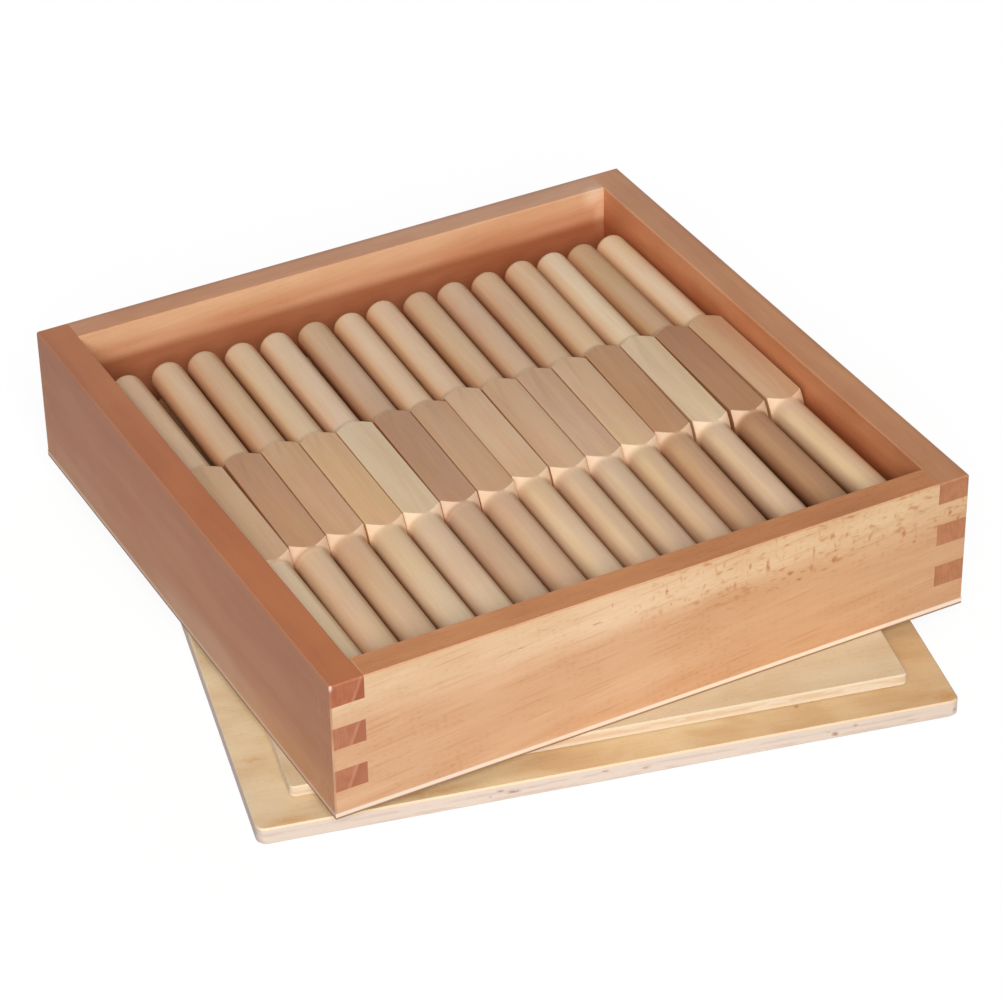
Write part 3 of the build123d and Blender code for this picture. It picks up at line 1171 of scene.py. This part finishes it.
@dataclass(frozen=True)
class SpindleSet:
    """All the spindles, layer on layer, with each column's lean and each spindle's tone."""

    leans: tuple[float, ...] = (
        1.0, 2.0, 2.1, 2.1, 2.15, 2.65, 2.7, 2.7, 2.95, 2.95, 3.1, 3.4, 2.7, 1.6, 0.6,
    )

    def depths(self) -> dict[str, Triple]:
        """The spindles whose near end, square or far end stands out from their tone; a few of these are painted
        light and painted shade.
        """
        return {
            # Painted light: the first spindle's near end is made paler against the shadow of the left wall.
            "spindle_top_01": (-0.9, 0.2, 0.0),
            "spindle_top_02": (-0.45, 0.58, -0.25),
            "spindle_top_03": (0.12, 0.1, 0.3),
            "spindle_top_04": (-0.3, 0.1, 0.0),
            "spindle_top_05": (-0.3, 0.0, 0.0),
            "spindle_top_06": (0.2, 0.55, 0.35),
            "spindle_top_07": (0.35, 0.35, -0.5),
            "spindle_top_09": (0.3, 0.35, 0.45),
            "spindle_top_10": (0.0, -0.2, -0.2),
            "spindle_top_11": (0.4, 0.1, 0.35),
            "spindle_top_12": (0.7, 0.62, -0.4),
            "spindle_top_13": (0.35, 0.15, -0.35),
            "spindle_top_14": (0.8, 0.58, -0.25),
            "spindle_top_15": (-0.3, 0.1, -0.7),
            # Painted shade: the middle-layer spindles that show through gaps in the top layer are darkened in
            # full.
            "spindle_middle_01": (1.0, 1.0, 1.0),
            "spindle_middle_02": (1.0, 1.0, 1.0),
        }

    def layers(self) -> dict[str, tuple[Tone, ...]]:
        """The tones of each layer from left to right."""
        pale, cream, honey, tan, rosy, brown = Tone
        return {
            "top": (cream, tan, tan, honey, pale, rosy, tan, cream, cream, rosy, cream, tan, pale, brown, tan),
            "middle": (
                brown, brown, rosy, cream, tan, cream, pale, tan, honey, cream, tan, cream, rosy, tan, cream,
            ),
            "bottom": (
                pale, tan, cream, brown, cream, tan, cream, rosy, tan, pale, cream, honey, tan, cream, tan,
            ),
        }

    def finishes(self) -> tuple[SpindleFinish, ...]:
        """The finish of each tone."""
        return (
            SpindleFinish(Tone.PALE, paint(216, 193, 161), paint(218, 192, 164)),
            SpindleFinish(Tone.CREAM, paint(208, 175, 141), paint(216, 188, 158)),
            SpindleFinish(Tone.HONEY, paint(212, 177, 138), paint(216, 190, 158)),
            SpindleFinish(Tone.TAN, paint(202, 164, 129), paint(212, 181, 150)),
            SpindleFinish(Tone.ROSY, paint(196, 160, 131), paint(205, 176, 149)),
            SpindleFinish(Tone.BROWN, paint(186, 145, 110), paint(195, 162, 129)),
        )

    def build(self, effects: Effects) -> None:
        """Turns every spindle.

        Args:
            effects: The shared effects.
        """
        materials = {finish.tone: finish.make(effects) for finish in self.finishes()}
        depths = self.depths()
        spindle = Spindle()
        number = 0
        for layer, tones in self.layers().items():
            for column, (lean, tone) in enumerate(zip(self.leans, tones), 1):
                number += 1
                node = f"spindle_{layer}_{column:02d}"
                own = depths.get(node, (0.0, 0.0, 0.0))
                spindle.build(node, math.radians(lean), number, tone, own, materials[tone])


@dataclass(frozen=True)
class Studio:
    """A white floor, even light from all round, and one wide soft lamp high at the front left."""

    floor_half: float = 4.0
    floor_drop: float = 0.2 * MM
    even_light: float = 0.33
    lamp_strength: float = 2.85
    lamp_spread: float = math.radians(35)
    lamp_from: Triple = (-0.34, -0.73, 0.59)
    bounced: float = 0.55
    shadowed: float = 0.14
    glow: float = 0.88

    def build(self) -> None:
        """Sets up the floor, the lamp and the even light."""
        self.lay_floor()
        self.hang_lamp()
        self.light_evenly()

    def lay_floor(self) -> None:
        """Lays the floor, which looks white and keeps a faint shadow of the object."""
        form = bmesh.new()
        bmesh.ops.create_grid(form, x_segments=1, y_segments=1, size=self.floor_half)
        bmesh.ops.translate(form, verts=form.verts, vec=(0, 0, -self.floor_drop))
        mesh = bpy.data.meshes.new("floor")
        form.to_mesh(mesh)
        form.free()
        material = bpy.data.materials.new("studio_floor")
        material.use_nodes = True
        recipe = Recipe(material.node_tree)
        bounce, faint = (
            recipe.add("ShaderNodeBsdfDiffuse", {"Color": (grey, grey, grey, 1.0)})
            for grey in (self.bounced, self.shadowed)
        )
        glow = recipe.add("ShaderNodeEmission", {"Color": WHITE, "Strength": self.glow})
        seen = recipe.add("ShaderNodeAddShader", {0: faint.outputs[0], 1: glow.outputs[0]})
        path = recipe.add("ShaderNodeLightPath", {})
        both = recipe.add("ShaderNodeMixShader", {
            0: path.outputs["Is Camera Ray"], 1: bounce.outputs[0], 2: seen.outputs[0],
        })
        recipe.add("ShaderNodeOutputMaterial", {"Surface": both.outputs[0]})
        mesh.materials.append(material)
        floor = bpy.data.objects.new("floor", mesh)
        bpy.context.scene.collection.objects.link(floor)

    def hang_lamp(self) -> None:
        """Hangs the one lamp."""
        lamp = bpy.data.lights.new("soft_lamp", "SUN")
        lamp.energy = self.lamp_strength
        lamp.angle = self.lamp_spread
        holder = bpy.data.objects.new("soft_lamp", lamp)
        holder.rotation_mode = "QUATERNION"
        holder.rotation_quaternion = Vector(self.lamp_from).to_track_quat("Z", "Y")
        bpy.context.scene.collection.objects.link(holder)

    def light_evenly(self) -> None:
        """Lights the object from all round, where the camera and reflections see plain white."""
        world = bpy.data.worlds.new("studio")
        bpy.context.scene.world = world
        world.use_nodes = True
        recipe = Recipe(world.node_tree)
        light, white = (
            recipe.add("ShaderNodeBackground", {"Color": WHITE, "Strength": strength})
            for strength in (self.even_light, 1.0)
        )
        path = recipe.add("ShaderNodeLightPath", {})
        seen = recipe.maths("MAXIMUM", path.outputs["Is Camera Ray"], path.outputs["Is Glossy Ray"])
        seen = recipe.maths("MAXIMUM", seen, path.outputs["Is Transmission Ray"])
        both = recipe.add("ShaderNodeMixShader", {0: seen, 1: light.outputs[0], 2: white.outputs[0]})
        recipe.add("ShaderNodeOutputWorld", {"Surface": both.outputs[0]})


@dataclass(frozen=True)
class Viewpoint:
    """The camera where the photograph was taken from: high, left of the front, and from some way off."""

    position: Triple = (-501.0 * MM, -945.5 * MM, 772.8 * MM)
    azimuth: float = math.radians(-27.63573)
    elevation: float = math.radians(34.70667)
    roll: float = math.radians(-1.00481)
    lens: float = 133.70
    sensor: float = 36.0
    nearest: float = 0.05
    farthest: float = 50.0

    def build(self) -> None:
        """Sets up the scene's camera."""
        data = bpy.data.cameras.new("viewpoint")
        data.lens = self.lens
        data.sensor_fit = "HORIZONTAL"
        data.sensor_width = self.sensor
        data.clip_start = self.nearest
        data.clip_end = self.farthest
        camera = bpy.data.objects.new("viewpoint", data)
        level = math.cos(self.elevation)
        rightward, nearer = math.sin(self.azimuth) * level, -math.cos(self.azimuth) * level
        back = Vector((rightward, nearer, math.sin(self.elevation)))
        camera.rotation_mode = "QUATERNION"
        aim = (-back).to_track_quat("-Z", "Y")
        camera.rotation_quaternion = aim @ Quaternion((0, 0, 1), self.roll)
        camera.location = self.position
        bpy.context.scene.collection.objects.link(camera)
        bpy.context.scene.camera = camera


def main() -> None:
    """Builds the studio, the camera and every part of the object."""
    logging.basicConfig(level=logging.INFO, format="%(name)s: %(message)s")
    bpy.context.scene.view_settings.view_transform = "Standard"
    effects = Effects()
    Studio().build()
    Viewpoint().build()
    Lid().build(effects)
    Tray().build(effects)
    SpindleSet().build(effects)


if __name__ == "__main__":
    main()
